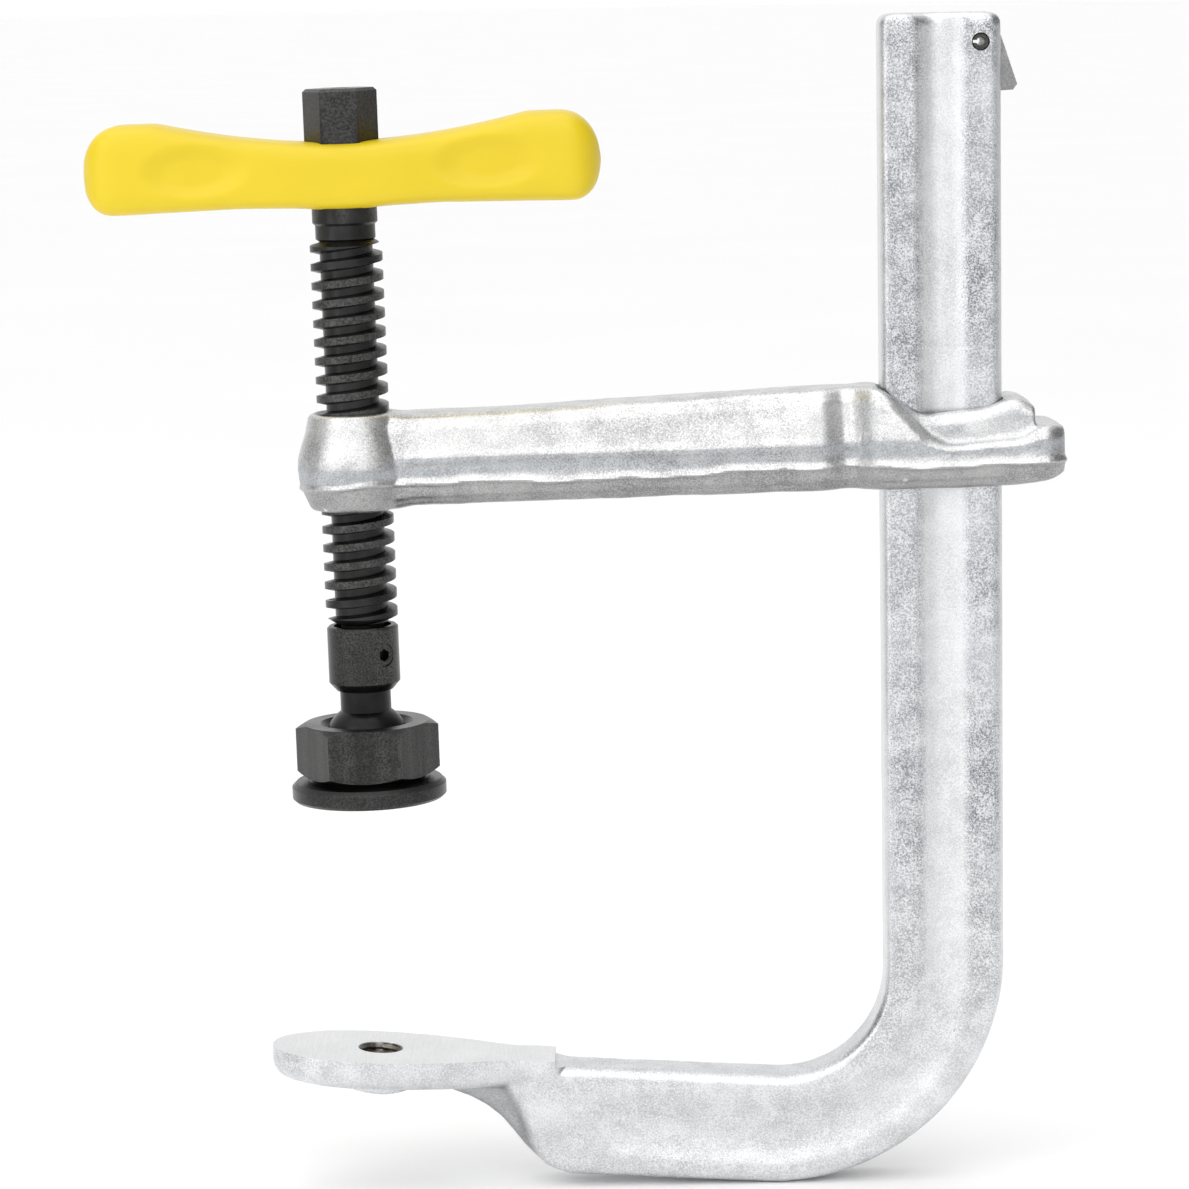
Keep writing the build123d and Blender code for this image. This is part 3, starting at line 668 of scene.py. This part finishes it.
HANDLE_LOW = 228.2
HANDLE_HALF = 68.3
HANDLE_HALF_THICKNESS = 12.0
HANDLE_MIDDLE_HEIGHT = 17.3
HANDLE_CREST = 49.0
HANDLE_CREST_RISE = 6.3
HANDLE_TOP_ROUND_FROM = 57.0
HANDLE_BOTTOM_ROUND_FROM = 60.5
HANDLE_HEX_ACROSS = 17.04
THUMB_PLACE = 38.5
THUMB_H = 239.2
THUMB_DEPTH = 1.8
HANDLE_BOTTOM = [(0, -0.3), (6, -0.2), (12, 0.3), (26, 0.7), (45, 0.3), (57, 0.0), (70, 0.0)]


def handle_ring(a):
    """Closed section of the handle, a squarish oval under a saddle-shaped top."""
    reach = abs(a)
    top = HANDLE_MIDDLE_HEIGHT + HANDLE_CREST_RISE * min(1.0, reach / HANDLE_CREST) ** 1.9
    bottom = follow(reach, HANDLE_BOTTOM)
    middle = bottom + 0.44 * (top - bottom)
    over = max(0.0, (reach - HANDLE_TOP_ROUND_FROM) / (HANDLE_HALF - HANDLE_TOP_ROUND_FROM))
    under = max(0.0, (reach - HANDLE_BOTTOM_ROUND_FROM) / (HANDLE_HALF - HANDLE_BOTTOM_ROUND_FROM))
    rise = (top - middle) * max(0.06, sqrt(max(0.0, 1 - over**2.3)))
    fall = (middle - bottom) * max(0.06, sqrt(max(0.0, 1 - under**2.2)))
    half_thick = HANDLE_HALF_THICKNESS * max(0.08, sqrt(max(0.0, 1 - over**3.2)))
    power = 2 / 5.0
    ring = []
    for k in range(80):
        angle = 2 * pi * k / 80
        c, s = cos(angle), sin(angle)
        y = half_thick * np.sign(c) * abs(c) ** power
        h = HANDLE_LOW + middle + (rise if s > 0 else fall) * np.sign(s) * abs(s) ** power
        ring.append(leaning(a, y, h))
    return ring


spacing = np.sin(np.linspace(-pi / 2, pi / 2, 150)) * 0.35 + np.linspace(-1, 1, 150) * 0.65
handle = fuse("t_handle", [loft("grip", [handle_ring(a * HANDLE_HALF) for a in spacing])], 0.75, 8)
points = coordinates(handle)
place, across, height = upright(points)
from_thumb = np.sqrt(((abs(place) - THUMB_PLACE) / 15.0) ** 2 + ((height - THUMB_H) / 7.4) ** 2)
dimple = 1 - smoothstep(from_thumb, 0.45, 1.05)
side_facing = smoothstep(abs(across), 7.0, 11.0)
push_along_normals(handle, -THUMB_DEPTH * dimple * side_facing + 0.06 * lumps(points, 14.0, 6))
corner_radius = HANDLE_HEX_ACROSS / 2 / cos(radians(30))
corners = [radians(60 * k) for k in range(6)]
hexagon = [(corner_radius * cos(corner), corner_radius * sin(corner)) for corner in corners]
hex_cutter = loft("hex_hole", [[leaning(a, y, h) for a, y in hexagon] for h in (222, 252)])
cut(handle, [hex_cutter])
shade(handle, 40)
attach(handle, "screw")
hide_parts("handle")

# ---------------------------------------------------------------- latch spring

SPRING_WIRE_RADIUS = 0.25
SPRING_COILS = 7
SPRING_STEPS = 24

spring_back, spring_front = node_span("latch_spring", 0)
spring_radius = node_span("latch_spring", 1)[1] - SPRING_WIRE_RADIUS
spring_z = sum(node_span("latch_spring", 2)) / 2
wire_rings = []
for k in range(SPRING_COILS * SPRING_STEPS + 1):
    turn = 2 * pi * k / SPRING_STEPS
    share = k / (SPRING_COILS * SPRING_STEPS)
    x = spring_back + SPRING_WIRE_RADIUS + share * (spring_front - spring_back - 2 * SPRING_WIRE_RADIUS)
    ring = []
    for j in range(10):
        angle = 2 * pi * j / 10
        out_from_axis = spring_radius + SPRING_WIRE_RADIUS * cos(angle)
        ring.append(
            (
                x + SPRING_WIRE_RADIUS * sin(angle),
                out_from_axis * cos(turn),
                spring_z + out_from_axis * sin(turn),
            )
        )
    wire_rings.append(ring)
spring = loft("coil_spring", wire_rings)
shade(spring, 50)
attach(spring, "frame")
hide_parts("latch_spring")
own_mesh(spring)

# ---------------------------------------------------------------- materials


class Shader:
    """Node graph of one procedural material, patterned by object coordinates in metres."""

    def __init__(self, name):
        self.material = bpy.data.materials.new(name)
        self.material.use_nodes = True
        self.nodes = self.material.node_tree.nodes
        self.links = self.material.node_tree.links
        self.surface = self.nodes["Principled BSDF"]
        self.place = self.nodes.new("ShaderNodeTexCoord").outputs["Object"]

    def set(self, **values):
        """Uniform values of the surface."""
        for name, value in values.items():
            self.surface.inputs[name.replace("_", " ")].default_value = value

    def noise(self, per_metre, detail=4.0, roughness=0.55, stretch=(1, 1, 1)):
        """Noise between 0 and 1, with so many features to a metre."""
        scaled = self.nodes.new("ShaderNodeMapping")
        scaled.inputs["Scale"].default_value = stretch
        self.links.new(self.place, scaled.inputs["Vector"])
        made = self.nodes.new("ShaderNodeTexNoise")
        made.inputs["Scale"].default_value = per_metre
        made.inputs["Detail"].default_value = detail
        made.inputs["Roughness"].default_value = roughness
        self.links.new(scaled.outputs["Vector"], made.inputs["Vector"])
        return made.outputs["Fac"]

    def range(self, value, low, high, to_low, to_high):
        """The value, moved from one range to another and clamped."""
        made = self.nodes.new("ShaderNodeMapRange")
        made.inputs["From Min"].default_value = low
        made.inputs["From Max"].default_value = high
        made.inputs["To Min"].default_value = to_low
        made.inputs["To Max"].default_value = to_high
        self.links.new(value, made.inputs["Value"])
        return made.outputs["Result"]

    def math(self, operation, first, second):
        """Arithmetic on two values, each a number or a socket."""
        made = self.nodes.new("ShaderNodeMath")
        made.operation = operation
        for socket, value in zip(made.inputs, (first, second)):
            if isinstance(value, (int, float)):
                socket.default_value = value
            else:
                self.links.new(value, socket)
        return made.outputs["Value"]

    def mix(self, factor, first, second, blend="MIX"):
        """From the first colour to the second, each three numbers or a socket."""
        made = self.nodes.new("ShaderNodeMix")
        made.data_type = "RGBA"
        made.blend_type = blend
        self.links.new(factor, made.inputs["Factor"])
        for socket, value in ((made.inputs[6], first), (made.inputs[7], second)):
            if isinstance(value, tuple):
                socket.default_value = (*value, 1)
            else:
                self.links.new(value, socket)
        return made.outputs[2]

    def bump(self, layers):
        """Stacks (height, strength, distance in metres) layers of relief."""
        normal = None
        for height, strength, distance in layers:
            made = self.nodes.new("ShaderNodeBump")
            made.inputs["Strength"].default_value = strength
            made.inputs["Distance"].default_value = distance
            self.links.new(height, made.inputs["Height"])
            if normal is not None:
                self.links.new(normal, made.inputs["Normal"])
            normal = made.outputs["Normal"]
        self.links.new(normal, self.surface.inputs["Normal"])

    def join(self, value, socket):
        """Feeds a socket of the surface."""
        self.links.new(value, self.surface.inputs[socket])

    def worn_edges(self):
        """1 on convex edges, 0 elsewhere."""
        shape = self.nodes.new("ShaderNodeNewGeometry")
        return self.range(shape.outputs["Pointiness"], 0.52, 0.60, 0.0, 1.0)


def zinc(look, dark, bright, grain, relief, gloss=(0.26, 0.44), contrast=(0.36, 0.66)):
    """Bright zinc plating over a blasted forging: fine pits and cloudy patches."""
    cloud = look.noise(34, 3)
    patch = look.noise(150, 3, 0.6)
    speckle = look.noise(grain, 3, 0.7)
    fine = look.noise(grain * 2.3, 2, 0.6)
    spots = look.math("ADD", speckle, look.range(patch, 0.3, 0.7, -0.07, 0.07))
    tone = look.mix(look.range(spots, *contrast, 0.0, 1.0), dark, bright)
    tone = look.mix(look.range(cloud, 0.38, 0.7, 0.0, 0.4), tone, bright)
    look.set(Metallic=1.0)
    look.join(look.range(look.math("ADD", cloud, speckle), 0.75, 1.25, *gloss), "Roughness")
    coarse = [(cloud, 0.25, 0.0006), (patch, 0.3, 0.00025)]
    look.bump(coarse + [(speckle, 0.5, relief), (fine, 0.35, relief * 0.5)])
    return tone


def arm_zinc():
    """Arm zinc with painted shade: darker on the upright land of the flanks, darker still on the drafted
    flanks that face down below the parting line, and dark in creases.
    """
    look = Shader("arm_zinc")
    tone = zinc(look, (0.34, 0.34, 0.35), (0.80, 0.80, 0.795), 2300, 0.00010, (0.30, 0.46), (0.36, 0.62))
    shape = look.nodes.new("ShaderNodeNewGeometry")
    facing = look.nodes.new("ShaderNodeSeparateXYZ")
    look.links.new(shape.outputs["Normal"], facing.inputs["Vector"])
    # Painted shade: every face that does not face up, from the upright land of the flanks down, is darkened.
    land = look.range(facing.outputs["Z"], 0.17, 0.03, 0.0, 1.0)
    tone = look.mix(land, tone, (0.70, 0.72, 0.75), "MULTIPLY")
    # Painted shade: faces turned downwards, the drafted flanks below the parting line, are darkened further.
    underside_shade = look.range(facing.outputs["Z"], -0.12, -0.32, 0.0, 1.0)
    tone = look.mix(underside_shade, tone, (0.82, 0.79, 0.76), "MULTIPLY")
    # Painted shade: concave creases where the arm's faces meet are darkened.
    crease_shade = look.range(shape.outputs["Pointiness"], 0.49, 0.45, 0.0, 0.3)
    tone = look.mix(crease_shade, tone, (0.16, 0.155, 0.15))
    edges = look.range(look.worn_edges(), 0.0, 1.0, 0.0, 0.5)
    look.join(look.mix(edges, tone, (0.95, 0.95, 0.94)), "Base Color")
    return look.material


def rail_zinc():
    """Blasted grey lands beside a brighter forged groove, with painted light making the lower arm and foot
    lighter towards the bottom, and painted shade in the hollow under the foot and in creases.
    """
    look = Shader("rail_zinc")
    tone = zinc(look, (0.20, 0.21, 0.23), (0.76, 0.77, 0.79), 2300, 0.00008, (0.26, 0.44), (0.38, 0.62))
    spread = look.nodes.new("ShaderNodeSeparateXYZ")
    look.links.new(look.place, spread.inputs["Vector"])
    depth = look.math("ABSOLUTE", spread.outputs["Y"], 0.0)
    groove = look.range(depth, (RAIL_HALF_THICKNESS - 0.15) * MM, (RAIL_HALF_THICKNESS - 1.2) * MM, 0.0, 0.6)
    on_rail = look.range(spread.outputs["Z"], -5 * MM, 30 * MM, 0.0, 1.0)
    tone = look.mix(look.math("MULTIPLY", groove, on_rail), tone, (0.84, 0.85, 0.86))
    # Painted light: the rail's colour is made lighter towards the bottom, over the lower arm and foot.
    lower = look.range(spread.outputs["Z"], 55 * MM, -12 * MM, 0.0, 0.42)
    tone = look.mix(lower, tone, (0.88, 0.88, 0.88))
    # Painted shade: the slim web in the hollow under the foot, before the heel, is darkened.
    shade_under_foot = look.range(spread.outputs["Z"], -8 * MM, -12 * MM, 0.0, 0.8)
    hollow = look.math("MULTIPLY", look.range(depth, 6.6 * MM, 4.6 * MM, 0.0, 1.0), shade_under_foot)
    before_heel = look.range(spread.outputs["X"], 45 * MM, 41 * MM, 0.0, 1.0)
    tone = look.mix(look.math("MULTIPLY", hollow, before_heel), tone, (0.48, 0.48, 0.48), "MULTIPLY")
    # Painted shade: concave creases on the rail and foot are darkened.
    shape = look.nodes.new("ShaderNodeNewGeometry")
    look.join(
        look.mix(look.range(shape.outputs["Pointiness"], 0.49, 0.45, 0.0, 0.5), tone, (0.2, 0.2, 0.2)),
        "Base Color",
    )
    return look.material


def plain_zinc(name, dark, bright, grain, relief):
    """Zinc plating with nothing else on it."""
    look = Shader(name)
    look.join(zinc(look, dark, bright, grain, relief), "Base Color")
    return look.material


def machined_zinc():
    """Plated face left by a milling cutter: fine parallel lines under satin plating."""
    look = Shader("machined_zinc")
    lines = look.noise(2600, 2, 0.5, (1.0, 0.04, 1.0))
    cloud = look.noise(60, 3)
    tone = look.mix(look.range(cloud, 0.35, 0.65, 0.0, 1.0), (0.74, 0.745, 0.75), (0.80, 0.805, 0.81))
    look.join(look.mix(look.range(lines, 0.35, 0.65, 0.0, 0.25), tone, (0.68, 0.69, 0.70)), "Base Color")
    look.set(Metallic=1.0)
    look.join(look.range(lines, 0.3, 0.7, 0.22, 0.36), "Roughness")
    look.bump([(lines, 0.25, 0.00003), (cloud, 0.1, 0.0003)])
    return look.material


def black_oxide(name, grain, dark, light):
    """Oiled black oxide on turned steel, a little worn on its edges."""
    look = Shader(name)
    cloud = look.noise(90, 4)
    fine = look.noise(grain, 3, 0.65)
    worn = look.math("MULTIPLY", look.worn_edges(), look.range(fine, 0.4, 0.6, 0.05, 0.45))
    tone = look.mix(look.range(cloud, 0.35, 0.65, 0.0, 1.0), (dark,) * 3, (light,) * 3)
    look.join(look.mix(worn, tone, (0.17, 0.167, 0.16)), "Base Color")
    look.set(Metallic=0.75, Specular_IOR_Level=0.35, Coat_Weight=0.15, Coat_Roughness=0.22)
    look.join(look.range(look.math("ADD", cloud, fine), 0.7, 1.3, 0.24, 0.46), "Roughness")
    look.bump([(cloud, 0.15, 0.0002), (fine, 0.3, 0.00005)])
    return look.material


def bright_steel(name, tone_low, tone_high):
    """Bare metal with faint stains."""
    look = Shader(name)
    cloud = look.noise(300, 4)
    fine = look.noise(2600, 2)
    look.join(look.mix(look.range(cloud, 0.35, 0.65, 0.0, 1.0), tone_low, tone_high), "Base Color")
    look.set(Metallic=1.0)
    look.join(look.range(fine, 0.35, 0.65, 0.24, 0.42), "Roughness")
    look.bump([(fine, 0.25, 0.00003)])
    return look.material


def yellow_plastic():
    """Satin moulded handle with a faint spark-eroded grain."""
    look = Shader("yellow_handle_moulding")
    cloud = look.noise(26, 3)
    grain = look.noise(2300, 2, 0.6)
    look.join(
        look.mix(look.range(cloud, 0.3, 0.7, 0.0, 1.0), (0.71, 0.525, 0.005), (0.76, 0.565, 0.008)),
        "Base Color",
    )
    look.set(Specular_IOR_Level=0.5)
    look.join(look.range(look.math("ADD", cloud, grain), 0.7, 1.3, 0.33, 0.48), "Roughness")
    look.bump([(cloud, 0.2, 0.0008), (grain, 0.18, 0.00004)])
    return look.material


def paint(piece, material):
    """One material all over the piece."""
    piece.data.materials.clear()
    piece.data.materials.append(material)
    for face in piece.data.polygons:
        face.material_index = 0


def paint_where(piece, material, chosen):
    """A second material on the faces whose centre and normal pass a test, in metres."""
    piece.data.materials.append(material)
    spot = len(piece.data.materials) - 1
    for face in piece.data.polygons:
        if chosen(face.center, face.normal):
            face.material_index = spot


def on_machined_face(centre, normal):
    """Whether a face lies on the foot's milled clamping face."""
    drop = centre.z + centre.x * tan(TOE_IN)
    return normal.z > 0.98 and abs(drop) < 0.05 * MM and centre.x < STEP_X * MM


def in_foot_hole(centre, normal):
    """Whether a face is in the foot's tapped hole."""
    drop = centre.z + centre.x * tan(TOE_IN)
    beside_axis = sqrt((centre.x - centre.z * tan(TOE_IN)) ** 2 + centre.y**2)
    return beside_axis < (FOOT_HOLE + 0.95) * MM and drop < -0.1 * MM


paint(rail, rail_zinc())
paint_where(rail, machined_zinc(), on_machined_face)
paint_where(rail, bright_steel("tapped_hole_steel", (0.12, 0.105, 0.09), (0.34, 0.32, 0.30)), in_foot_hole)
paint(arm, arm_zinc())
paint(handle, yellow_plastic())
paint(spring, bright_steel("spring_steel", (0.35, 0.35, 0.34), (0.6, 0.6, 0.58)))
screw_black = black_oxide("screw_black_oxide", 1500, 0.012, 0.032)
turned_black = black_oxide("turned_black_oxide", 2200, 0.006, 0.016)
cad_looks = {
    "spindle": screw_black,
    "swivel_stud": turned_black,
    "swivel_set_screw": turned_black,
    "pad_nut": turned_black,
    "pad_disc": turned_black,
    "stop_latch": plain_zinc("latch_zinc", (0.16, 0.16, 0.165), (0.34, 0.34, 0.345), 1500, 0.00003),
    "stop_roll_pin": black_oxide("roll_pin_black_oxide", 2600, 0.008, 0.02),
}
for node, material in cad_looks.items():
    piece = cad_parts[node]
    for spot in piece.material_slots:
        spot.material = material

# ---------------------------------------------------------------- floor, light and camera

low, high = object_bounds()
FLOOR_REACH = 40.0
FLOOR_RINGS = 24
FLOOR_SPOKES = 64
floor_points = []
floor_faces = []
for r in range(FLOOR_RINGS + 1):
    radius = FLOOR_REACH * (r / FLOOR_RINGS) ** 3 + 0.001
    for k in range(FLOOR_SPOKES):
        angle = 2 * pi * k / FLOOR_SPOKES
        floor_points.append((radius * cos(angle), radius * sin(angle), low.z))
for r in range(FLOOR_RINGS):
    for k in range(FLOOR_SPOKES):
        n = (k + 1) % FLOOR_SPOKES
        inside, outside = r * FLOOR_SPOKES, (r + 1) * FLOOR_SPOKES
        floor_faces.append((inside + k, outside + k, outside + n, inside + n))
floor_faces.append(tuple(range(FLOOR_SPOKES)))
floor_mesh = bpy.data.meshes.new("floor")
floor_mesh.from_pydata(floor_points, [], floor_faces)
floor = new_object("floor", floor_mesh)
floor_look = Shader("pale_floor")
floor_tone = floor_look.range(floor_look.noise(3, 2), 0.3, 0.7, 0.0, 1.0)
floor_look.join(floor_look.mix(floor_tone, (0.97, 0.97, 0.97), (0.985, 0.985, 0.985)), "Base Color")
floor_look.set(Roughness=0.7)
paint(floor, floor_look.material)

# white studio that darkens to both sides, more to the right
world = bpy.data.worlds.new("studio")
bpy.context.scene.world = world
world.use_nodes = True
sky_nodes = world.node_tree.nodes
sky_links = world.node_tree.links
direction = sky_nodes.new("ShaderNodeTexCoord")
parts = sky_nodes.new("ShaderNodeSeparateXYZ")
sideways = sky_nodes.new("ShaderNodeMapRange")
sideways.inputs["From Min"].default_value = -1.0
around = sky_nodes.new("ShaderNodeValToRGB")
stops = around.color_ramp.elements
stops[0].position, stops[1].position = 0.03, 0.86
stops[0].color = (0.3, 0.3, 0.3, 1)
stops[1].color = (0.2, 0.2, 0.2, 1)
for position in (0.2, 0.62):
    stops.new(position).color = (1, 1, 1, 1)
sky_links.new(direction.outputs["Generated"], parts.inputs["Vector"])
sky_links.new(parts.outputs["X"], sideways.inputs["Value"])
sky_links.new(sideways.outputs["Result"], around.inputs["Fac"])
sky_links.new(around.outputs["Color"], sky_nodes["Background"].inputs["Color"])


def softbox(name, place, aim, width, height, power):
    """Large rectangular light that faces a point."""
    data = bpy.data.lights.new(name, "AREA")
    data.shape = "RECTANGLE"
    data.size = width
    data.size_y = height
    data.energy = power
    light = new_object(name, data)
    light.location = place
    light.rotation_euler = (Vector(aim) - Vector(place)).to_track_quat("-Z", "Y").to_euler()


SOFTBOXES = {
    "key_left": ((-0.9, -0.75, 0.55), 0.5, 1.2, 2.3),
    "key_right": ((0.42, -1.15, 0.75), 0.4, 1.0, 1.2),
    "top": ((0.05, 0.1, 1.3), 1.2, 0.9, 2.2),
}
middle = (low + high) / 2
for name, (place, width, height, power) in SOFTBOXES.items():
    softbox(name, place, middle, width, height, power)
sun_data = bpy.data.lights.new("sun", "SUN")
sun_data.energy = 0.85
sun_data.angle = radians(80)
sun = new_object("sun", sun_data)
sun.rotation_euler = (radians(32), radians(-12), 0)

bpy.context.scene.view_settings.view_transform = "Standard"

CAMERA_DOWN = radians(8.4)
CAMERA_ROLL = radians(1.0)
CAMERA_PLACE = (0.06028, -1.11352, 0.28794)
CAMERA_LENS = 127.2
ahead = Vector((0, cos(CAMERA_DOWN), -sin(CAMERA_DOWN)))
above = Vector((0, sin(CAMERA_DOWN), cos(CAMERA_DOWN)))
beside = Vector((1, 0, 0))
across_axis = beside * cos(CAMERA_ROLL) - above * sin(CAMERA_ROLL)
up_axis = beside * sin(CAMERA_ROLL) + above * cos(CAMERA_ROLL)
camera_data = bpy.data.cameras.new("camera")
camera_data.sensor_width = 36.0
camera_data.lens = CAMERA_LENS
camera = new_object("camera", camera_data)
placing = Matrix((across_axis, up_axis, -ahead)).transposed().to_4x4()
placing.translation = Vector(CAMERA_PLACE)
camera.matrix_world = placing
bpy.context.scene.camera = camera
